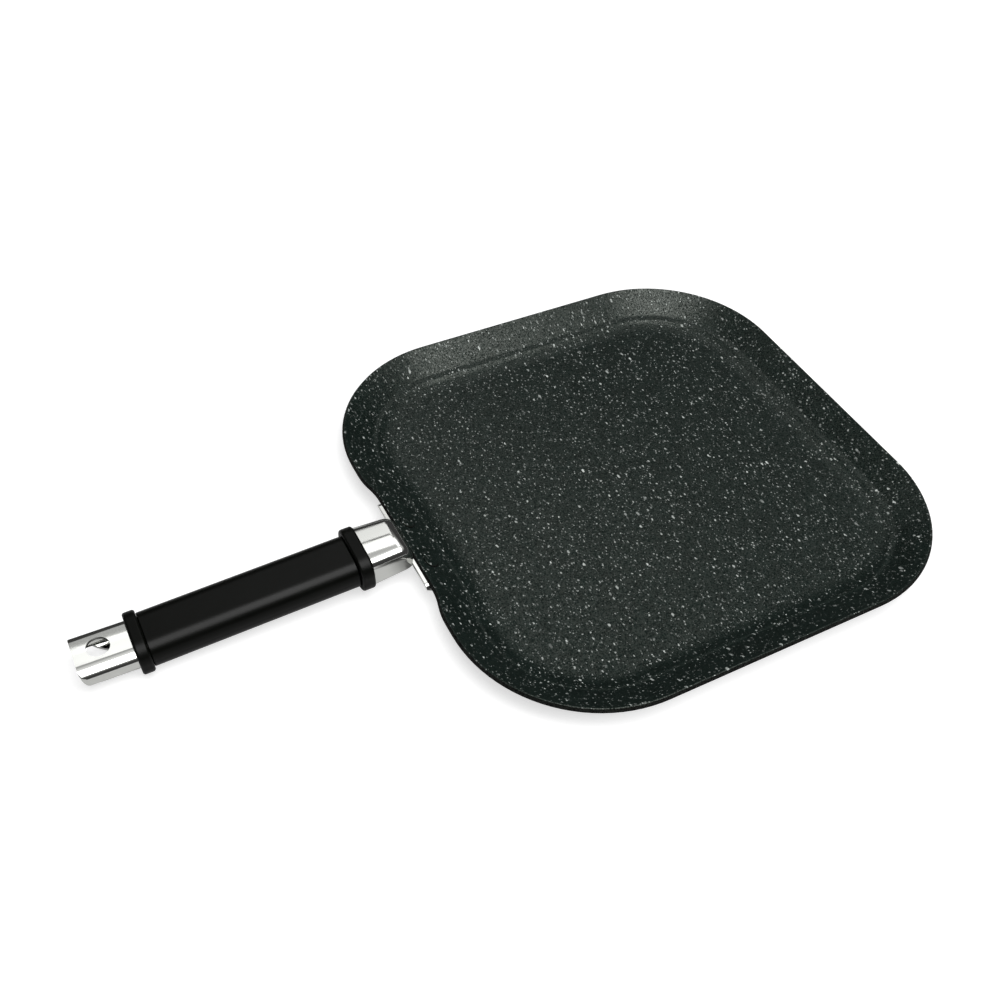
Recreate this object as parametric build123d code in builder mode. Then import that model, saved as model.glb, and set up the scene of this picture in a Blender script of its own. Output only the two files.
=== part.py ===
from build123d import *
import math
import os

os.makedirs("parts", exist_ok=True)

# Square griddle pan with a shallow flared wall and one long handle.
# Millimetres. Origin at the middle of the base underside, +Z up, handle along -Y.

# Pan: one sheet of even thickness, measured on its inner cooking surface
PAN_SIDE = 280.0            # inner edge of the rim, side to side
RIM_CORNER_R = 75.992       # at the inner rim edge, in plan
SHEET = 2.8
WALL_RUN = 29.0             # level distance from the flat floor to the inner rim edge
FLOOR_BEND_R = 26.0         # soft bend between floor and wall
WALL_SLOPE = 32.0           # degrees above level
EDGE_ROUND = 0.7

# The wall is drawn in a little where the handle bracket sits
DENT_DEPTH = 3.2
DENT_BLEND = 23.0           # length of the double bend on each side of the flat
DENT_TO_CORNER = 8.0

# Handle axis: starts above the rim and falls slightly outwards
AXIS_ABOVE_RIM = 0.9
DROOP = 2.3                 # degrees
TIP_RISE = 3.0              # degrees the bare tip bends up from the grip

# Tang: pressed steel, a flattened tube with an open seam below
TANG_WALL = 1.5
NECK_W, NECK_H, NECK_R = 30.6, 18.6, 5.2
NECK_TAPER = 0.94           # size at the pan end over size at the collar
NOSE_FOOT = 0.084           # upright part of the sides left where the nose meets the bracket
NOSE_SIDE_R = 3.0
NOSE_TURNS = (0, 22.5, 45, 67.5, 90)
CORE_W, CORE_H, CORE_R = 25.2, 14.0, 5.2
SEAM_W = 9.0
SEAM_START = 7.0            # behind the closed pan end

# Moulded grip and its two collars, threaded over the core of the tang
GRIP_W, GRIP_H, GRIP_R = 29.4, 17.8, 8.0
GRIP_END_ROUND = 0.6
FRONT_W, FRONT_H, FRONT_R = 34.4, 22.6, 8.8
FRONT_LENGTH = 7.0
REAR_W, REAR_H, REAR_R = 32.8, 21.4, 9.0
REAR_LENGTH = 6.2
COLLAR_ROUND = 1.3
FIT = 0.2                   # clearance all round between core and mouldings
SEAT = 0.1                  # clearance end to end between seated pieces
NECK_END_AT = 21.2          # from the rim line along the axis
GRIP_END_AT = 135.2

# Bare tip with the hanging hole
TIP_END_AT = 168.7
TIP_HEEL_R = 11.5           # underside of the tip is rounded away
TIP_CORNER_R = 3.0
HOLE_R = 5.7
HOLE_FROM_END = 12.1
NOTCH_START = 19.0          # from the tip end, where the seam starts to open out
NOTCH_FULL = 8.0            # from the tip end, where the notch reaches the sides

# Bracket: wings along the rim and a tongue under the sloping wall
WING_MARGIN = 1.0           # wing tips stop short of the double bend
WING_TOP = 0.8              # below the inner rim edge
WING_END_R = 3.0
TONGUE_LENGTH = 15.0
BRACKET_GAP = 0.15          # bracket to pan

# Rivets, two through the wall and the tongue
RIVET_HALF_PITCH = 15.0
RIVET_R = 2.4
RIVET_HEAD_R = 4.2
RIVET_HEAD_H = 1.1
RIVET_HEAD_ROUND = 0.9
RIVET_DOWN_WALL = 8.0       # from the inner rim edge down the slope
RIVET_FIT = 0.1

slope = math.radians(WALL_SLOPE)
sin_s = math.sin(slope)
cos_s = math.cos(slope)
half_side = PAN_SIDE / 2
dent_end = half_side - RIM_CORNER_R - DENT_TO_CORNER
dent_flat_half = dent_end - DENT_BLEND
wing_half = dent_flat_half - WING_MARGIN
bend_run = FLOOR_BEND_R * sin_s
bend_rise = FLOOR_BEND_R * (1 - cos_s)
rim_z = SHEET + bend_rise + (WALL_RUN - bend_run) * sin_s / cos_s
dent_y = -half_side + DENT_DEPTH
blend_r = (DENT_BLEND**2 + DENT_DEPTH**2) / (4 * DENT_DEPTH)
blend_angle = math.degrees(math.asin(DENT_BLEND / (2 * blend_r)))


def half_outline(inset):
    """Left half of the pan outline, drawn in by inset, from back middle to front middle."""
    side = half_side - inset
    corner_r = RIM_CORNER_R - inset
    corner = half_side - RIM_CORNER_R
    Line((0, side), (-corner, side))
    CenterArc((-corner, corner), corner_r, 90, 90)
    Line((-side, corner), (-side, -corner))
    CenterArc((-corner, -corner), corner_r, 180, 90)
    Line((-corner, -side), (-dent_end, -side))
    CenterArc((-dent_end, -half_side + blend_r), blend_r - inset, 270, blend_angle)
    CenterArc((-dent_flat_half, dent_y - blend_r), blend_r + inset, 90 + blend_angle, -blend_angle)
    Line((-dent_flat_half, dent_y + inset), (0, dent_y + inset))


def wall_point(x, down):
    """Location on the inner wall surface at the bracket, Z square to the wall, down the slope."""
    normal = (0, sin_s, cos_s)
    return Plane((x, dent_y + down * cos_s, rim_z - down * sin_s), x_dir=(1, 0, 0), z_dir=normal)


# Pan body
floor_half = half_side - WALL_RUN
wall_section = Plane(origin=(0, floor_half, 0), x_dir=(0, 1, 0), z_dir=(1, 0, 0))
bend_in = (bend_run, SHEET + bend_rise)
bend_out = (bend_in[0] + SHEET * sin_s, bend_in[1] - SHEET * cos_s)
rim_in = (WALL_RUN, rim_z)
rim_out = (rim_in[0] + SHEET * sin_s, rim_in[1] - SHEET * cos_s)
bend_centre = (0, SHEET + FLOOR_BEND_R)

with BuildPart() as pan_body:
    with BuildLine() as floor_edge:
        half_outline(WALL_RUN)
    with BuildSketch(wall_section):
        with BuildLine():
            CenterArc(bend_centre, FLOOR_BEND_R, 270, WALL_SLOPE)
            Line(bend_in, rim_in)
            Line(rim_in, rim_out)
            Line(rim_out, bend_out)
            CenterArc(bend_centre, FLOOR_BEND_R + SHEET, 270, WALL_SLOPE)
            Line((0, 0), (0, SHEET))
        wall_face = make_face()
        fillet(wall_face.vertices().sort_by(Axis.Y)[-2:], EDGE_ROUND)
    sweep(path=floor_edge.wires()[0])
    with BuildSketch():
        with BuildLine():
            half_outline(WALL_RUN)
            Line((0, dent_y + WALL_RUN), (0, floor_half))
        make_face()
    extrude(amount=SHEET)
    mirror(about=Plane.YZ)
    for side in (-1, 1):
        with Locations(wall_point(side * RIVET_HALF_PITCH, RIVET_DOWN_WALL).location):
            Cylinder(RIVET_R + RIVET_FIT, 4 * SHEET, mode=Mode.SUBTRACT)

pan_body.part.label = "pan_body"
export_step(pan_body.part, "parts/pan_body.step")


# Handle planes: local X across the handle, local Y up, local Z outwards along the axis
handle_base = Plane(
    origin=(0, -half_side, rim_z + AXIS_ABOVE_RIM),
    x_dir=(1, 0, 0),
    z_dir=(0, -math.cos(math.radians(DROOP)), -math.sin(math.radians(DROOP))),
)
bracket_back = dent_y - SHEET * sin_s - BRACKET_GAP
bracket_front = bracket_back - TANG_WALL
neck_start = -half_side - bracket_back
nose_r = NECK_H * NECK_TAPER - 2 * NECK_R - NOSE_FOOT
rear_face_at = GRIP_END_AT + SEAT + REAR_LENGTH
tip_plane = handle_base.offset(rear_face_at).rotated((-TIP_RISE, 0, 0))
tip_length = TIP_END_AT - rear_face_at
tip_plan = Plane(origin=tip_plane.origin, x_dir=(1, 0, 0), z_dir=tip_plane.y_dir)
tip_side = Plane(origin=tip_plane.origin, x_dir=tip_plane.z_dir, z_dir=(-1, 0, 0))


def neck_solid(inset):
    """Closed neck block, drawn in by inset, from the bracket to the shoulder at the collar."""
    nose = nose_r - inset
    nose_side = NOSE_SIDE_R - inset
    corner = NECK_R - inset
    width = NECK_W * NECK_TAPER - 2 * inset
    height = NECK_H * NECK_TAPER - 2 * inset
    with BuildPart(mode=Mode.PRIVATE) as block:
        for turn in NOSE_TURNS:
            open_share = math.sin(math.radians(turn))
            drop = nose * (1 - open_share)
            along = nose * (1 - math.cos(math.radians(turn)))
            with BuildSketch(handle_base.offset(neck_start + inset + along)):
                with Locations((0, -drop / 2)):
                    RectangleRounded(width - 2 * nose_side * (1 - open_share), height - drop, corner)
        loft()
        with BuildSketch(handle_base.offset(neck_start + inset + nose)):
            RectangleRounded(width, height, corner)
        with BuildSketch(handle_base.offset(NECK_END_AT - inset)):
            RectangleRounded(NECK_W - 2 * inset, NECK_H - 2 * inset, corner)
        loft()
    return block.part


def core_solid(inset, start):
    """Core block through the grip plus the bare tip, drawn in by inset."""
    size = (CORE_W - 2 * inset, CORE_H - 2 * inset, CORE_R - inset)
    with BuildPart(mode=Mode.PRIVATE) as block:
        with BuildSketch(handle_base.offset(start)):
            RectangleRounded(*size)
        extrude(amount=rear_face_at - start)
        with BuildSketch(tip_plane):
            RectangleRounded(*size)
        extrude(amount=tip_length)
    return block.part


# Handle tang
with BuildPart() as handle_tang:
    # Bracket: wings along the rim, tongue under the wall, as one bent strip
    wing_z = rim_z - WING_TOP
    tongue_top = rim_out[1] - BRACKET_GAP * (1 / cos_s - sin_s / cos_s)
    with BuildSketch(Plane.YZ.offset(-wing_half)):
        with BuildLine():
            Polyline(
                (bracket_front, wing_z),
                (bracket_back, wing_z),
                (bracket_back, tongue_top),
                (bracket_back + TONGUE_LENGTH * cos_s, tongue_top - TONGUE_LENGTH * sin_s),
                (
                    bracket_back + TONGUE_LENGTH * cos_s - TANG_WALL * sin_s,
                    tongue_top - TONGUE_LENGTH * sin_s - TANG_WALL * cos_s,
                ),
                (bracket_front, tongue_top - TANG_WALL / cos_s + TANG_WALL * sin_s / cos_s),
                close=True,
            )
        make_face()
    extrude(amount=2 * wing_half)
    wing_corners = handle_tang.edges().filter_by(Axis.Y).group_by(Axis.Z)[-1]
    fillet(wing_corners, WING_END_R)
    tongue_tips = handle_tang.faces().sort_by(Axis.Y)[-1].edges().filter_by(Axis.X, reverse=True)
    fillet(tongue_tips, WING_END_R)
    add(neck_solid(0))
    add(core_solid(0, NECK_END_AT - TANG_WALL))
    add(neck_solid(TANG_WALL), mode=Mode.SUBTRACT)
    add(core_solid(TANG_WALL, NECK_END_AT - TANG_WALL - SEAT), mode=Mode.SUBTRACT)
    for side in (-1, 1):
        with Locations(wall_point(side * RIVET_HALF_PITCH, RIVET_DOWN_WALL).location):
            Cylinder(RIVET_R + RIVET_FIT, 4 * SHEET, mode=Mode.SUBTRACT)

    # Open seam along the underside, widening to a notch at the tip
    seam_depth = CORE_H / 2 - 2 * TANG_WALL
    with BuildSketch(handle_base.offset(neck_start + SEAM_START)):
        with Locations((0, -NECK_H / 2)):
            Rectangle(SEAM_W, 2 * (NECK_H / 2 - seam_depth))
    extrude(amount=TIP_END_AT, mode=Mode.SUBTRACT)
    with BuildSketch(tip_plan.offset(-CORE_H)):
        Polygon(
            (-SEAM_W / 2, NOTCH_START - tip_length),
            (SEAM_W / 2, NOTCH_START - tip_length),
            (CORE_W / 2, NOTCH_FULL - tip_length),
            (CORE_W / 2, -2 * tip_length),
            (-CORE_W / 2, -2 * tip_length),
            (-CORE_W / 2, NOTCH_FULL - tip_length),
            align=None,
        )
    extrude(amount=CORE_H / 2 + 2 * TANG_WALL, mode=Mode.SUBTRACT)

    # Hanging hole through the top of the tip
    with BuildSketch(tip_plan):
        with Locations((0, HOLE_FROM_END - tip_length)):
            Circle(HOLE_R)
    extrude(amount=CORE_H, mode=Mode.SUBTRACT)

    # Heel of the tip rounded away, front corners rounded in plan
    with BuildSketch(tip_side):
        with Locations((tip_length - TIP_HEEL_R, TIP_HEEL_R - CORE_H / 2)):
            Rectangle(2 * TIP_HEEL_R, 2 * TIP_HEEL_R, align=(Align.MIN, Align.MAX))
            Circle(TIP_HEEL_R, mode=Mode.SUBTRACT)
    extrude(amount=CORE_W, both=True, mode=Mode.SUBTRACT)
    with BuildSketch(tip_plan):
        with Locations((CORE_W / 2 - TIP_CORNER_R, TIP_CORNER_R - tip_length)):
            Rectangle(2 * TIP_CORNER_R, 2 * TIP_CORNER_R, align=(Align.MIN, Align.MAX))
            Circle(TIP_CORNER_R, mode=Mode.SUBTRACT)
        mirror(about=Plane.YZ)
    extrude(amount=CORE_H, both=True, mode=Mode.SUBTRACT)

handle_tang.part.label = "handle_tang"
export_step(handle_tang.part, "parts/handle_tang.step")


# Handle grip
bore = (CORE_W + 2 * FIT, CORE_H + 2 * FIT, CORE_R + FIT)
grip_start_at = NECK_END_AT + FRONT_LENGTH + 2 * SEAT

with BuildPart() as handle_grip:
    with BuildSketch(handle_base.offset(grip_start_at)):
        RectangleRounded(GRIP_W, GRIP_H, GRIP_R)
    extrude(amount=GRIP_END_AT - grip_start_at)
    grip_ends = handle_grip.faces().sort_by(Axis.Y)
    fillet(grip_ends[0].edges() + grip_ends[-1].edges(), GRIP_END_ROUND)
    with BuildSketch(handle_base.offset(grip_start_at)):
        RectangleRounded(*bore)
    extrude(amount=GRIP_END_AT - grip_start_at, mode=Mode.SUBTRACT)

handle_grip.part.label = "handle_grip"
export_step(handle_grip.part, "parts/handle_grip.step")


def collar_solid(start, length, size):
    """Rounded ring round the core, from start along the axis."""
    with BuildPart(mode=Mode.PRIVATE) as ring:
        with BuildSketch(handle_base.offset(start)):
            RectangleRounded(*size)
        extrude(amount=length)
        ring_ends = ring.faces().sort_by(Axis.Y)
        fillet(ring_ends[0].edges() + ring_ends[-1].edges(), COLLAR_ROUND)
        with BuildSketch(handle_base.offset(start)):
            RectangleRounded(*bore)
        extrude(amount=length, mode=Mode.SUBTRACT)
    return ring.part


# Front collar, between neck and grip
with BuildPart() as front_collar:
    add(collar_solid(NECK_END_AT + SEAT, FRONT_LENGTH, (FRONT_W, FRONT_H, FRONT_R)))

front_collar.part.label = "front_collar"
export_step(front_collar.part, "parts/front_collar.step")


# Rear collar, between grip and tip
with BuildPart() as rear_collar:
    add(collar_solid(GRIP_END_AT + SEAT, REAR_LENGTH, (REAR_W, REAR_H, REAR_R)))

rear_collar.part.label = "rear_collar"
export_step(rear_collar.part, "parts/rear_collar.step")


# Rivets through wall and tongue
def rivet_solid(side):
    """One rivet: shank and two rounded heads, square to the wall."""
    top = wall_point(side * RIVET_HALF_PITCH, RIVET_DOWN_WALL).offset(RIVET_FIT)
    grip_length = SHEET + BRACKET_GAP + TANG_WALL + 2 * RIVET_FIT
    with BuildPart(mode=Mode.PRIVATE) as rivet:
        with BuildSketch(top):
            Circle(RIVET_R)
        extrude(amount=-grip_length)
        with BuildSketch(top):
            Circle(RIVET_HEAD_R)
        extrude(amount=RIVET_HEAD_H)
        with BuildSketch(top.offset(-grip_length)):
            Circle(RIVET_HEAD_R)
        extrude(amount=-RIVET_HEAD_H)
        along = Axis(top.origin, top.z_dir)
        rims = rivet.edges().filter_by(GeomType.CIRCLE).sort_by(along)
        fillet([rims[0], rims[-1]], RIVET_HEAD_ROUND)
    return rivet.part


with BuildPart() as rivets:
    add(rivet_solid(-1))
    add(rivet_solid(1))

rivets.part.label = "rivets"
export_step(rivets.part, "parts/rivets.step")
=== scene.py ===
# %% [markdown]
# A square griddle pan: a pressed pan with a stone-look non-stick coating, a chromed handle,
# a moulded grip and two end rings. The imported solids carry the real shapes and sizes.
# This lesson dresses them: each cell adds one thing, a material, a light or the camera,
# and says what it gives the eye. Run the cells in order.

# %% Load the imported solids
import math
import bmesh
import bpy
from mathutils import Matrix, Vector


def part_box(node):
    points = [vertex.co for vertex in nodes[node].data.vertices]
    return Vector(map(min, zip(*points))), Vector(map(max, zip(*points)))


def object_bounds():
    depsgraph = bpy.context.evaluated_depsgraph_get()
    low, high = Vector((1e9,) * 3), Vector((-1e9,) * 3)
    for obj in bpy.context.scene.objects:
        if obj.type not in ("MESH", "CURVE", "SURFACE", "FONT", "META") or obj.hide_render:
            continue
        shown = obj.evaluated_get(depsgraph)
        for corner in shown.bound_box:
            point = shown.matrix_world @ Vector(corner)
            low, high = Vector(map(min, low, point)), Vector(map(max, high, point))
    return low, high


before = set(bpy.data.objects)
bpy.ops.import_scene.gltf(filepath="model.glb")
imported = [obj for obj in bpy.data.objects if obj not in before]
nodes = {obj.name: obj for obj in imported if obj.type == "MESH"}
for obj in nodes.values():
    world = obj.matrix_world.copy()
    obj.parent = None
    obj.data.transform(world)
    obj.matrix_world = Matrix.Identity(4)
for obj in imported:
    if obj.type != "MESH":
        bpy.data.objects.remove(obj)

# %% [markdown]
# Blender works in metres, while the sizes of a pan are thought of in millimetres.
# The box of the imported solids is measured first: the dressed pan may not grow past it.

MM = 0.001
cad_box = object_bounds()
print("nodes:", sorted(nodes))
print("size in mm:", [round((high - low) / MM, 1) for low, high in zip(*cad_box)])

# %% [markdown]
# A shader is a tree of small nodes. One function adds a node of any kind, with its settings
# and its inputs. An input can be a plain value, the output socket of another node, or a whole
# node, which then gives its main output. So a pattern reads as a short chain of steps.
# Colours are written as sRGB hex, as on a screen, and one function turns them to linear light.

# %% Helpers for shader trees
def srgb(hex_code):
    """A hex colour as linear RGBA, as shader sockets expect it."""
    parts = [int(hex_code[i:i + 2], 16) / 255 for i in (1, 3, 5)]
    linear = [c / 12.92 if c <= 0.04045 else ((c + 0.055) / 1.055) ** 2.4 for c in parts]
    return (*linear, 1.0)


def add_node(tree, kind, inputs=(), **settings):
    """One shader node. inputs maps a socket's name or number to a value, a socket or a node."""
    node = tree.nodes.new("ShaderNode" + kind)
    for name, value in settings.items():
        setattr(node, name, value)
    for name, value in dict(inputs).items():
        if isinstance(value, bpy.types.Node):
            value = next(output for output in value.outputs if output.enabled)
        if isinstance(value, bpy.types.NodeSocket):
            tree.links.new(value, node.inputs[name])
        else:
            node.inputs[name].default_value = value
    return node


def empty_material(name):
    """A new material with no nodes yet, and its tree."""
    material = bpy.data.materials.new(name)
    material.use_nodes = True
    material.node_tree.nodes.clear()
    return material, material.node_tree


def pattern_scale(size_mm):
    """The scale that makes the lumps of a pattern size_mm across: how many fit in a metre."""
    return 1 / (size_mm * MM)


print("a pattern of 5 mm has the scale", round(pattern_scale(5)))

# %% [markdown]
# The camera stands where the photograph was taken from: in front of one side of the handle,
# looking down at about 47 degrees. It could be aimed at a target, but its tilt was found
# together with its place, so its three axes are written out and it is put there directly.

# %% Camera
CAMERA_AT = (0.35968, -0.28838, 0.46956)
CAMERA_RIGHT = (0.45789, 0.88807, 0.04090)
CAMERA_UP = (-0.66499, 0.31161, 0.67874)
CAMERA_BACK = (0.59002, -0.33798, 0.73324)
LENS_MM = 41.11
SENSOR_MM = 36

camera_data = bpy.data.cameras.new("camera")
camera_data.sensor_width = SENSOR_MM
camera_data.lens = LENS_MM
camera = bpy.data.objects.new("camera", camera_data)
axes = Matrix((CAMERA_RIGHT, CAMERA_UP, CAMERA_BACK)).transposed()
camera.matrix_world = Matrix.Translation(CAMERA_AT) @ axes.to_4x4()
bpy.context.collection.objects.link(camera)
bpy.context.scene.camera = camera
print("camera height above the table in mm:", round(CAMERA_AT[2] / MM))

# %% [markdown]
# The inside of the pan has a sprayed stone-look coating with grey flecks of several sizes.
# Most flecks are fine and faint; a few are large, pale and ragged. They could be scattered as
# small pieces, but real ones lie inside the coating, so they are only colour.
# A layer is one size of fleck. It cuts the surface into cells, keeps a share of them and draws
# one fleck in each, stretched along its own lean. The cell's random colour decides which cells
# are kept, how large the fleck is and how pale. Raised to a power, most come out faint.
# Each layer is shifted by its own amount, so that no two layers line up.

# %% Flecks
FLECK_EDGE_MM = 0.16
SMALLEST_FLECK = 0.4
FAINTEST_FLECK = 0.15
MOSTLY_FAINT = 1.7
SHIFT_ACROSS = 1.7

# cell mm, fleck radius mm, share of cells used, length over width, lean in degrees
FLECK_LAYERS = (
    (0.9, 0.19, 0.15, 1.0, 0),
    (1.5, 0.26, 0.24, 1.4, 40),
    (2.1, 0.30, 0.27, 1.7, 115),
    (3.2, 0.37, 0.36, 1.9, 15),
    (6.0, 0.48, 0.32, 2.0, 75),
    (11.0, 0.58, 0.28, 2.2, 150),
)


def flecks(tree, place, layer, shift):
    """Soft-edged flecks of one size: their paleness inside, 0 outside."""
    cell_mm, radius_mm, share, stretch, lean = layer
    leaning = add_node(tree, "Mapping", {
        "Vector": place,
        "Location": (shift, SHIFT_ACROSS * shift, 0),
        "Rotation": (0, 0, math.radians(lean)),
        "Scale": (1 / stretch, 1, 0),
    })
    grid = {"Vector": leaning, "Scale": pattern_scale(cell_mm)}
    cells = add_node(tree, "TexVoronoi", grid, voronoi_dimensions="2D")
    chance = add_node(tree, "SeparateColor", {"Color": cells.outputs["Color"]}).outputs
    kept = add_node(tree, "Math", {0: chance[0], 1: share}, operation="LESS_THAN")
    full = radius_mm / cell_mm
    sizes = {0: chance[1], 1: full, 2: SMALLEST_FLECK * full}
    radius = add_node(tree, "Math", sizes, operation="MULTIPLY_ADD")
    depth = add_node(tree, "Math", {0: radius, 1: cells.outputs["Distance"]}, operation="SUBTRACT")
    sharpness = cell_mm / FLECK_EDGE_MM
    soft = add_node(tree, "Math", {0: depth, 1: sharpness}, operation="MULTIPLY", use_clamp=True)
    drawn = add_node(tree, "Math", {0: soft, 1: kept}, operation="MULTIPLY")
    faint = add_node(tree, "Math", {0: chance[2], 1: MOSTLY_FAINT}, operation="POWER")
    pale = {0: faint, 1: 1 - FAINTEST_FLECK, 2: FAINTEST_FLECK}
    paleness = add_node(tree, "Math", pale, operation="MULTIPLY_ADD")
    return add_node(tree, "Math", {0: drawn, 1: paleness}, operation="MULTIPLY")


print("fleck layers:", len(FLECK_LAYERS))

# %% [markdown]
# The flecks lie in a nearly black ground that shifts a little from place to place, in soft
# clouds and in fine grit. Smooth outlines would look printed, so the place that the flecks are
# drawn at is first pushed about by fine noise, which makes them ragged as sprayed flecks are.

# %% Stone look
COAT_DARK = srgb("#0B1310")
COAT_LIGHT = srgb("#192320")
FLECK_PALE = srgb("#CDD3CF")
FLECK_RAGGED_MM = 1.7
RAGGED_LUMPS_PER_MM = 1.5
RAGGED_DETAIL = 2.0
NOISE_MIDDLE = (0.5, 0.5, 0.5)
FIRST_SHIFT = 1.3
CLOUD_MM = 9.0
CLOUD_DETAIL = 4.0
GRIT_MM = 1.1
GRIT_DETAIL = 3.0
GRIT_CONTRAST = 2.2


def ragged_place(tree, place):
    """The place on the surface, pushed about by fine noise."""
    scale = RAGGED_LUMPS_PER_MM / MM
    push = add_node(tree, "TexNoise", {"Vector": place, "Scale": scale, "Detail": RAGGED_DETAIL})
    both_ways = {0: push.outputs["Color"], 1: NOISE_MIDDLE}
    centred = add_node(tree, "VectorMath", both_ways, operation="SUBTRACT")
    small = add_node(tree, "VectorMath", {0: centred, "Scale": FLECK_RAGGED_MM * MM}, operation="SCALE")
    return add_node(tree, "VectorMath", {0: place, 1: small}, operation="ADD")


def stone_colour(tree, place):
    """The clouded ground with all layers of flecks on it. The palest fleck wins."""
    clouds = {"Vector": place, "Scale": pattern_scale(CLOUD_MM), "Detail": CLOUD_DETAIL}
    cloud = add_node(tree, "TexNoise", clouds)
    grains = {"Vector": place, "Scale": pattern_scale(GRIT_MM), "Detail": GRIT_DETAIL}
    grit = add_node(tree, "TexNoise", grains)
    centred = add_node(tree, "Math", {0: cloud, 1: GRIT_CONTRAST / 2}, operation="SUBTRACT")
    mixture = {0: grit, 1: GRIT_CONTRAST, 2: centred}
    uneven = add_node(tree, "Math", mixture, operation="MULTIPLY_ADD", use_clamp=True)
    ground = add_node(tree, "Mix", {0: uneven, "A": COAT_DARK, "B": COAT_LIGHT}, data_type="RGBA")
    ragged = ragged_place(tree, place)
    paleness = 0.0
    for number, layer in enumerate(FLECK_LAYERS):
        layer_paleness = flecks(tree, ragged, layer, FIRST_SHIFT + number)
        paleness = add_node(tree, "Math", {0: layer_paleness, 1: paleness}, operation="MAXIMUM")
    return add_node(tree, "Mix", {0: paleness, "A": ground, "B": FLECK_PALE}, data_type="RGBA")


print("ground clouds in mm:", CLOUD_MM, "grit in mm:", GRIT_MM)

# %% [markdown]
# The press leaves a fold where the wall meets the floor bend. It shows as a dark line with a
# paler band under it. The fold is very shallow, so the solid has a plain bend there, and the
# surface direction is turned a little at those two heights instead: flatter at the fold,
# steeper just below it.

# %% Press fold
FOLD_MM = 5.6
FOLD_HALF_MM = 0.8
FOLD_FLATTENS = 0.70
BAND_MM = 4.2
BAND_HALF_MM = 0.8
BAND_STEEPENS = 0.45


def ridge(tree, height, centre_mm, half_width_mm, strength):
    """strength at one height above the table, falling smoothly to 0 on both sides of it."""
    offset = add_node(tree, "Math", {0: height, 1: centre_mm * MM}, operation="SUBTRACT")
    widths = add_node(tree, "Math", {0: offset, 1: half_width_mm * MM}, operation="DIVIDE")
    square = add_node(tree, "Math", {0: widths, 1: widths}, operation="MULTIPLY")
    hill = add_node(tree, "Math", {0: 1.0, 1: square}, operation="SUBTRACT", use_clamp=True)
    return add_node(tree, "Math", {0: hill, 1: strength}, operation="MULTIPLY")


def folded_normal(tree, place, normal, inside):
    """The surface direction with the press fold, on the inside of the pan only."""
    height = add_node(tree, "SeparateXYZ", {0: place}).outputs["Z"]
    flatter = ridge(tree, height, FOLD_MM, FOLD_HALF_MM, -FOLD_FLATTENS)
    steeper = ridge(tree, height, BAND_MM, BAND_HALF_MM, BAND_STEEPENS)
    change = add_node(tree, "Math", {0: flatter, 1: steeper}, operation="ADD")
    change_inside = add_node(tree, "Math", {0: change, 1: inside}, operation="MULTIPLY")
    sideways = add_node(tree, "Math", {0: change_inside, 1: 1.0}, operation="ADD")
    factor = add_node(tree, "CombineXYZ", {"X": sideways, "Y": sideways, "Z": 1.0})
    turned = add_node(tree, "VectorMath", {0: normal, 1: factor}, operation="MULTIPLY")
    return add_node(tree, "VectorMath", {0: turned}, operation="NORMALIZE")


print("fold in mm above the table:", FOLD_MM, "band:", BAND_MM)

# %% [markdown]
# The inside is a sprayed fluoropolymer: satin, with a grain of fine pits that do not shine.
# The real grain is too fine to show at this distance, so it is drawn coarser, 0.8 mm across.
# Relief alone is lost when the picture is cleaned of noise, so the pits also lose their gloss,
# and the grains between them keep it. The outside has a plain black heat-proof paint.
# The sheet is one solid, so the two finishes are told apart by which way the surface faces:
# the inside looks up, the outside and the cut edge of the rim do not.

# %% Coating
INSIDE_FACES_UP = 0.70
OUTSIDE_BLACK = srgb("#0B0C0B")
COAT_ROUGH = 0.30
PAINT_ROUGH = 0.95
COAT_SPECULAR = 0.44
GRAIN_MM = 0.8
GRAIN_DETAIL = 2.0
GRAIN_DEPTH_MM = 0.08
GRAIN_TINT = srgb("#F8FFF5")
PIT_DARK = srgb("#000000")
PIT_MEAN = 0.6
PIT_CONTRAST = 4.0


def coating_material():
    """Fluoropolymer coating sprayed on the inside, heat-proof black paint outside."""
    material, tree = empty_material("speckled fluoropolymer coating")
    place = add_node(tree, "TexCoord").outputs["Object"]
    geometry = add_node(tree, "NewGeometry")
    upward = add_node(tree, "SeparateXYZ", {0: geometry.outputs["True Normal"]}).outputs["Z"]
    inside = add_node(tree, "Math", {0: upward, 1: INSIDE_FACES_UP}, operation="GREATER_THAN")
    sides = {0: inside, "A": OUTSIDE_BLACK, "B": stone_colour(tree, place)}
    colour = add_node(tree, "Mix", sides, data_type="RGBA")
    smoother = {0: inside, 1: COAT_ROUGH - PAINT_ROUGH, 2: PAINT_ROUGH}
    roughness = add_node(tree, "Math", smoother, operation="MULTIPLY_ADD")
    sprayed = {"Vector": place, "Scale": pattern_scale(GRAIN_MM), "Detail": GRAIN_DETAIL}
    grain = add_node(tree, "TexNoise", sprayed)
    contrast = {0: grain, 1: PIT_CONTRAST, 2: PIT_MEAN - PIT_CONTRAST / 2}
    pits = add_node(tree, "Math", contrast, operation="MULTIPLY_ADD", use_clamp=True)
    tint = add_node(tree, "Mix", {0: pits, "A": PIT_DARK, "B": GRAIN_TINT}, data_type="RGBA")
    folded = folded_normal(tree, place, geometry.outputs["Normal"], inside)
    relief = add_node(tree, "Bump", {
        "Strength": 1.0,
        "Distance": GRAIN_DEPTH_MM * MM,
        "Height": grain,
        "Normal": folded,
    })
    shader = add_node(tree, "BsdfPrincipled", {
        "Base Color": colour,
        "Roughness": roughness,
        "Specular IOR Level": COAT_SPECULAR,
        "Specular Tint": tint,
        "Normal": relief,
    })
    add_node(tree, "OutputMaterial", {"Surface": shader})
    return material


coating = coating_material()
print(coating.name, "has", len(coating.node_tree.nodes), "nodes")

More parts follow.
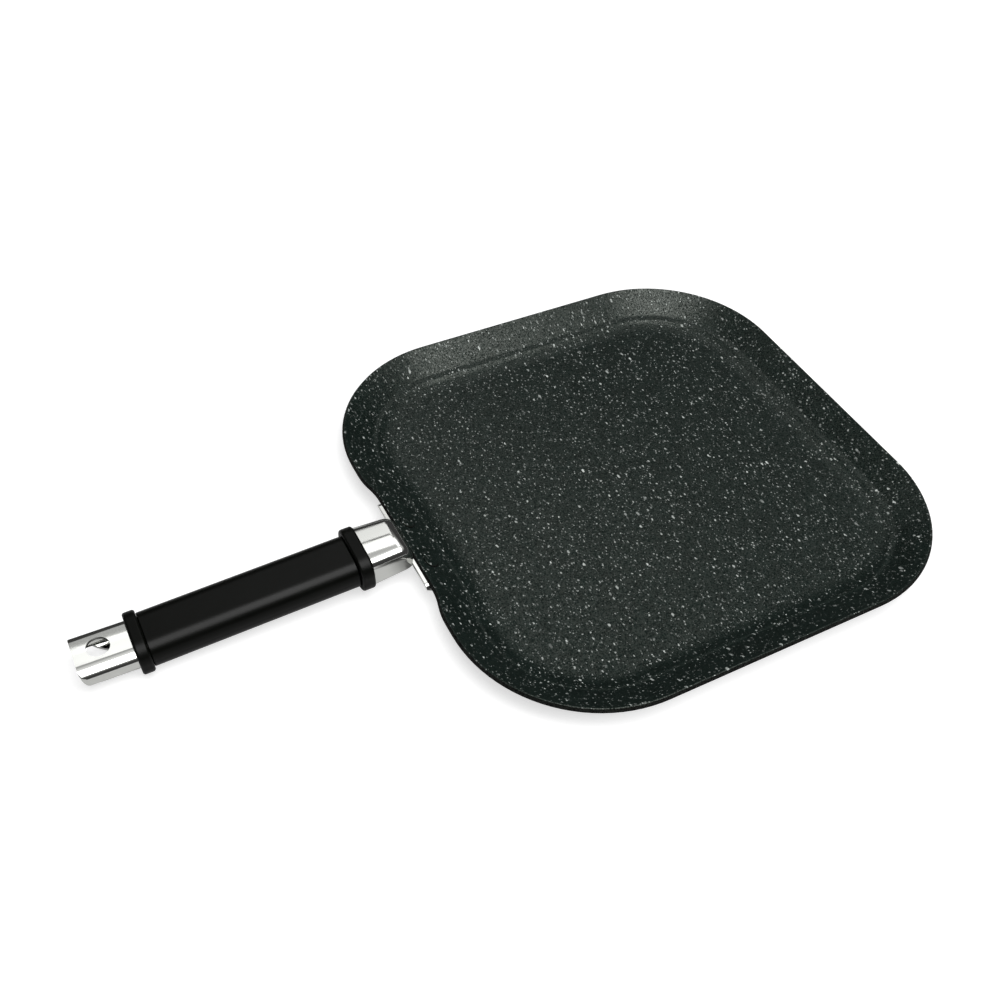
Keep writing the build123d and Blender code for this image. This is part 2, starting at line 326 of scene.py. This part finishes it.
# %% [markdown]
# The handle is pressed steel with bright chrome plating. A perfectly flat mirror shows one flat
# tone, but pressed faces crown a little and mirror the studio in long bands. The crown could be
# modelled, but adding it to the surface direction keeps the outline and the fit of the rings:
# sideways in proportion to the distance from the middle of the handle, and on the bare tip
# upwards in proportion to the height, because its sides bow outwards and mirror the dark side of
# the room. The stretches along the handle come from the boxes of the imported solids.

# %% Crown of the handle
HANDLE_BEYOND_PAN_MM = 1.8
CROWN_PER_MM = 0.012
BOW_PER_MM = 0.09
BOW_FROM_Z_MM = 8.0
RING_TILT_MM = 0.5

# Distances from the middle of the pan towards the tip, along -Y. The handle slopes down, so the
# box of a ring reaches half a millimetre past the middle of its end face.
handle_from_mm = -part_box("pan_body")[0][1] / MM + HANDLE_BEYOND_PAN_MM
covered_from_mm = -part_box("front_collar")[1][1] / MM + RING_TILT_MM
covered_to_mm = -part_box("rear_collar")[0][1] / MM - RING_TILT_MM


def crowned_normal(tree, spot, along, normal):
    """The surface direction, crowned across the handle and bowed on the sides of the tip."""
    on_handle = add_node(tree, "Math", {0: along, 1: handle_from_mm}, operation="GREATER_THAN")
    crown = add_node(tree, "Math", {0: spot["X"], 1: CROWN_PER_MM / MM}, operation="MULTIPLY")
    crown_there = add_node(tree, "Math", {0: crown, 1: on_handle}, operation="MULTIPLY")
    at_tip = add_node(tree, "Math", {0: along, 1: covered_to_mm}, operation="GREATER_THAN")
    height = add_node(tree, "Math", {0: spot["Z"], 1: BOW_FROM_Z_MM * MM}, operation="SUBTRACT")
    above = add_node(tree, "Math", {0: height, 1: 0.0}, operation="MAXIMUM")
    bow = add_node(tree, "Math", {0: above, 1: BOW_PER_MM / MM}, operation="MULTIPLY")
    bow_there = add_node(tree, "Math", {0: bow, 1: at_tip}, operation="MULTIPLY")
    lean = add_node(tree, "CombineXYZ", {"X": crown_there, "Z": bow_there})
    crowned = add_node(tree, "VectorMath", {0: normal, 1: lean}, operation="ADD")
    return add_node(tree, "VectorMath", {0: crowned}, operation="NORMALIZE")


print("steel covered by grip and rings, mm:", round(covered_from_mm, 1), "to", round(covered_to_mm, 1))

# %% [markdown]
# Chrome is a mirror, so most of its look is the room. Two things keep it from looking like
# glass: fine scratches along the handle, the way it is wiped, and a faint change of gloss from
# place to place. The scratches are noise that is stretched along the handle. Real ones are as
# thin as a hair, too fine to show, so they are drawn wider. Where grip and rings cover the steel,
# it is coloured dark as painted shade, so the thin joints between them look shaded.

# %% Chrome
CHROME = srgb("#E2E3DF")
PAINTED_JOINT_SHADE = srgb("#161514")
SCRATCH_WIDTH_MM = 0.35
SCRATCH_LENGTH_MM = 30.0
SCRATCH_DEPTH_MM = 0.0006
SCRATCH_DETAIL = 2.0
SMUDGE_MM = 12.0
SMUDGE_DETAIL = 3.0
SMUDGE_ROUGHER = 0.08
CHROME_ROUGH = 0.04


def chrome_material():
    """Bright chrome on pressed steel, with wiping scratches along the handle, and painted shade where
    grip and rings cover it.
    """
    material, tree = empty_material("chromed pressed steel")
    place = add_node(tree, "TexCoord").outputs["Object"]
    normal = add_node(tree, "NewGeometry").outputs["Normal"]
    spot = add_node(tree, "SeparateXYZ", {0: place}).outputs
    along = add_node(tree, "Math", {0: spot["Y"], 1: -1 / MM}, operation="MULTIPLY")
    thin = (1, SCRATCH_WIDTH_MM / SCRATCH_LENGTH_MM, 1)
    streaks = add_node(tree, "Mapping", {"Vector": place, "Scale": thin})
    pattern = {"Vector": streaks, "Scale": pattern_scale(SCRATCH_WIDTH_MM), "Detail": SCRATCH_DETAIL}
    scratches = add_node(tree, "TexNoise", pattern)
    relief = add_node(tree, "Bump", {
        "Strength": 1.0,
        "Distance": SCRATCH_DEPTH_MM * MM,
        "Height": scratches,
        "Normal": crowned_normal(tree, spot, along, normal),
    })
    # Painted shade: the steel under grip and rings is coloured dark, so the joints between them look
    # shaded.
    past_ring = add_node(tree, "Math", {0: along, 1: covered_from_mm}, operation="GREATER_THAN")
    before_tip = add_node(tree, "Math", {0: along, 1: covered_to_mm}, operation="LESS_THAN")
    covered = add_node(tree, "Math", {0: past_ring, 1: before_tip}, operation="MULTIPLY")
    colour = add_node(tree, "Mix", {0: covered, "A": CHROME, "B": PAINTED_JOINT_SHADE}, data_type="RGBA")
    clouds = {"Vector": place, "Scale": pattern_scale(SMUDGE_MM), "Detail": SMUDGE_DETAIL}
    smudge = add_node(tree, "TexNoise", clouds)
    duller = {0: smudge, 1: SMUDGE_ROUGHER, 2: CHROME_ROUGH}
    roughness = add_node(tree, "Math", duller, operation="MULTIPLY_ADD")
    shader = add_node(tree, "BsdfPrincipled", {
        "Base Color": colour,
        "Metallic": 1.0,
        "Roughness": roughness,
        "Normal": relief,
    })
    add_node(tree, "OutputMaterial", {"Surface": shader})
    return material


chrome = chrome_material()
print(chrome.name, "has", len(chrome.node_tree.nodes), "nodes")

# %% [markdown]
# The grip and its rings are black phenolic, the usual moulding for pan handles because it does
# not soften near a stove. It is satin: the mould leaves a very fine grain, which spreads the
# light of the softbox into one long soft highlight. The real grain is too fine to show, so it is
# drawn half a millimetre across. The rings are a little duller than the grip, so one function
# makes both, with the colour, the roughness and the depth of the grain as its inputs.

# %% Phenolic
GRIP_COLOUR = srgb("#040503")
GRIP_ROUGH = 0.34
GRIP_GRAIN_DEPTH_MM = 0.016
RING_COLOUR = srgb("#030402")
RING_ROUGH = 0.42
RING_GRAIN_DEPTH_MM = 0.010
PHENOLIC_SPECULAR = 0.15
MOULD_GRAIN_MM = 0.5
MOULD_GRAIN_DETAIL = 2.0
PATCH_MM = 14.0
PATCH_DETAIL = 3.0
PATCH_RANGE = 0.1


def phenolic_material(name, colour, roughness, grain_depth_mm):
    """Black moulded phenolic with a fine satin grain. Its gloss changes a little in patches."""
    material, tree = empty_material(name)
    place = add_node(tree, "TexCoord").outputs["Object"]
    clouds = {"Vector": place, "Scale": pattern_scale(PATCH_MM), "Detail": PATCH_DETAIL}
    patches = add_node(tree, "TexNoise", clouds)
    around = {0: patches, 1: PATCH_RANGE, 2: roughness - PATCH_RANGE / 2}
    moulded = {"Vector": place, "Scale": pattern_scale(MOULD_GRAIN_MM), "Detail": MOULD_GRAIN_DETAIL}
    grain = add_node(tree, "TexNoise", moulded)
    relief = add_node(tree, "Bump", {"Strength": 1.0, "Distance": grain_depth_mm * MM, "Height": grain})
    shader = add_node(tree, "BsdfPrincipled", {
        "Base Color": colour,
        "Roughness": add_node(tree, "Math", around, operation="MULTIPLY_ADD"),
        "Specular IOR Level": PHENOLIC_SPECULAR,
        "Normal": relief,
    })
    add_node(tree, "OutputMaterial", {"Surface": shader})
    return material


grip_black = phenolic_material("satin moulded phenolic", GRIP_COLOUR, GRIP_ROUGH, GRIP_GRAIN_DEPTH_MM)
ring_black = phenolic_material("dull moulded phenolic", RING_COLOUR, RING_ROUGH, RING_GRAIN_DEPTH_MM)
print("made:", grip_black.name, "and", ring_black.name)

# %% [markdown]
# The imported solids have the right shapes, so they keep their meshes. Each one only gets its
# material. It goes into the slots of the object, not of the mesh, so that the mesh is untouched.
# The rivets are painted over with the pan, so they share its material.

# %% Dress the solids
DRESS = (
    ("pan_body", coating),
    ("rivets", coating),
    ("handle_tang", chrome),
    ("handle_grip", grip_black),
    ("front_collar", ring_black),
    ("rear_collar", ring_black),
)

for name, material in DRESS:
    for slot in nodes[name].material_slots:
        slot.link = "OBJECT"
        slot.material = material
    print(name, "->", material.name)

# %% [markdown]
# The pan stands on white paper, which takes its shadow. Stronger lamps would whiten the paper,
# but they would bleach the pan too. So a part of the paper's white is glow that only the camera
# and, faintly, mirrors see: it lights nothing else. The lamps fade with distance, so further
# out the glow grows until it gives all of the white.

# %% Paper
PAPER = srgb("#C4C4C4")
PAPER_ROUGH = 0.9
PAPER_GLOW = 0.66
MIRRORED_GLOW = 0.1
GLOW_EVEN_TO_M = 0.35
GLOW_GROWS_PER_M = 1.2
PAPER_HALF_SIDE_M = 3.0
PAPER_GAP_MM = 0.2
WHITE = (1, 1, 1, 1)


def seen_directly(tree):
    """1 for rays from the camera or through glass, little for mirror surfaces, else 0."""
    ray = add_node(tree, "LightPath").outputs
    mirrored = add_node(tree, "Math", {0: ray["Is Glossy Ray"], 1: MIRRORED_GLOW}, operation="MULTIPLY")
    either = add_node(tree, "Math", {0: ray["Is Camera Ray"], 1: mirrored}, operation="MAXIMUM")
    return add_node(tree, "Math", {0: either, 1: ray["Is Transmission Ray"]}, operation="MAXIMUM")


def paper_material():
    """White paper that keeps the pan's shadow."""
    material, tree = empty_material("white paper")
    place = add_node(tree, "TexCoord").outputs["Object"]
    away = add_node(tree, "VectorMath", {0: place}, operation="LENGTH").outputs["Value"]
    beyond = add_node(tree, "Math", {0: away, 1: GLOW_EVEN_TO_M}, operation="SUBTRACT")
    far = add_node(tree, "Math", {0: beyond, 1: GLOW_GROWS_PER_M}, operation="MULTIPLY", use_clamp=True)
    glow = add_node(tree, "Math", {0: far, 1: 1 - PAPER_GLOW, 2: PAPER_GLOW}, operation="MULTIPLY_ADD")
    strength = add_node(tree, "Math", {0: seen_directly(tree), 1: glow}, operation="MULTIPLY")
    shader = add_node(tree, "BsdfPrincipled", {
        "Base Color": PAPER,
        "Roughness": PAPER_ROUGH,
        "Emission Color": WHITE,
        "Emission Strength": strength,
    })
    add_node(tree, "OutputMaterial", {"Surface": shader})
    return material


paper_mesh = bpy.data.meshes.new("paper")
sheet = bmesh.new()
bmesh.ops.create_grid(sheet, x_segments=1, y_segments=1, size=PAPER_HALF_SIDE_M)
sheet.to_mesh(paper_mesh)
sheet.free()
paper_mesh.materials.append(paper_material())
paper = bpy.data.objects.new("paper", paper_mesh)
paper.location.z = cad_box[0][2] - PAPER_GAP_MM * MM
bpy.context.collection.objects.link(paper)
print("paper height in mm:", round(paper.location.z / MM, 1))

# %% [markdown]
# The room is a white studio, and the camera sees plain white behind the pan. A mirror needs dark
# as well as light to show its shape, so the room that mirrors see is white high overhead only.
# It goes dark lower down all round, and on the far left, where a real studio stands black cards.
# That dark gives chrome its edges and keeps most of the coating nearly black.

# %% Room
WHITE_SIDE = Vector((0.60, 0.35, 0.72)).normalized()
SIDE_DARK_AT = 0.12
SIDE_WHITE_AT = 0.75
HORIZON_DARK_AT = 0.50
HORIZON_WHITE_AT = 0.95
ROOM_DARK = 0.05


def fade(tree, value, dark_at, white_at):
    """A soft change from the dark of the room to white."""
    limits = {"Value": value, "From Min": dark_at, "From Max": white_at, "To Min": ROOM_DARK}
    return add_node(tree, "MapRange", limits, interpolation_type="SMOOTHSTEP")


room = bpy.data.worlds.new("studio")
bpy.context.scene.world = room
room.use_nodes = True
tree = room.node_tree
tree.nodes.clear()
direction = add_node(tree, "TexCoord").outputs["Generated"]
facing = add_node(tree, "VectorMath", {0: direction, 1: WHITE_SIDE}, operation="DOT_PRODUCT")
height = add_node(tree, "SeparateXYZ", {0: direction}).outputs["Z"]
side = fade(tree, facing.outputs["Value"], SIDE_DARK_AT, SIDE_WHITE_AT)
horizon = fade(tree, height, HORIZON_DARK_AT, HORIZON_WHITE_AT)
shaded = add_node(tree, "Math", {0: side, 1: horizon}, operation="MINIMUM")
print("mirrors see dark below", round(math.degrees(math.asin(HORIZON_DARK_AT))), "degrees")

# %% [markdown]
# The world can give each kind of ray its own brightness. Camera rays get 1, plain white.
# Mirror and glass rays get the shaded room. All others, which carry the soft light that fills
# the shadows, get a dimmed copy of it, because the lamps do the lighting.

# %% Brightness of the room for each kind of ray
ROOM_FILL = 0.36

ray = add_node(tree, "LightPath").outputs
sharp = {0: ray["Is Glossy Ray"], 1: ray["Is Transmission Ray"]}
mirrored = add_node(tree, "Math", sharp, operation="MAXIMUM")
fill = add_node(tree, "Math", {0: shaded, 1: ROOM_FILL}, operation="MULTIPLY")
rest = add_node(tree, "Math", {0: shaded, 1: fill}, operation="SUBTRACT")
unseen = add_node(tree, "Math", {0: rest, 1: mirrored, 2: fill}, operation="MULTIPLY_ADD")
level = add_node(tree, "Math", {0: unseen, 1: ray["Is Camera Ray"]}, operation="MAXIMUM")
backdrop = add_node(tree, "Background", {"Color": WHITE, "Strength": level})
add_node(tree, "OutputWorld", {"Surface": backdrop})
print("share of the room in the soft light:", ROOM_FILL)

# %% [markdown]
# Soft lamps. The large one hangs nearly overhead, a little to the camera's side: the far wall
# and the top corner of the pan lean towards the camera and mirror it, so they turn pale, while
# the walls that lean away stay dark. It also draws the long highlight on the grip.
# Three weaker ones stand behind the pan, where level faces mirror them to the camera: one
# whitens the neck of the handle, one greys the tip, and a wide one above them gives the floor of
# the pan its soft sheen. A lamp's power is worked out from the brightness of its face, so its
# size can be changed without changing how bright its reflection is.

# %% Lamps
# name, direction from the pan, distance m, width and height m, brightness of the face
LAMPS = (
    ("overhead", (0.34, 0.02, 0.94), 1.7, (1.35, 1.35), 5.0),
    ("behind_neck", (-0.70, 0.18, 0.69), 1.9, (0.45, 0.38), 0.95),
    ("behind_tip", (-0.70, -0.08, 0.71), 1.9, (0.45, 0.38), 0.42),
    ("behind_high", (-0.55, 0.12, 0.83), 1.9, (1.35, 0.32), 1.2),
)

for name, towards, distance, (width, depth), brightness in LAMPS:
    light = bpy.data.lights.new(name, "AREA")
    light.shape = "RECTANGLE"
    light.size = width
    light.size_y = depth
    light.energy = brightness * math.pi * width * depth
    lamp = bpy.data.objects.new(name, light)
    lamp.location = Vector(towards).normalized() * distance
    lamp.rotation_euler = (-lamp.location).to_track_quat("-Z", "Y").to_euler()
    bpy.context.collection.objects.link(lamp)
    print(name, "watts", round(light.energy, 1))

# %% [markdown]
# The plain view transform shows a colour as it is written, so the finishes above can be judged.

# %% View transform
bpy.context.scene.view_settings.view_transform = "Standard"
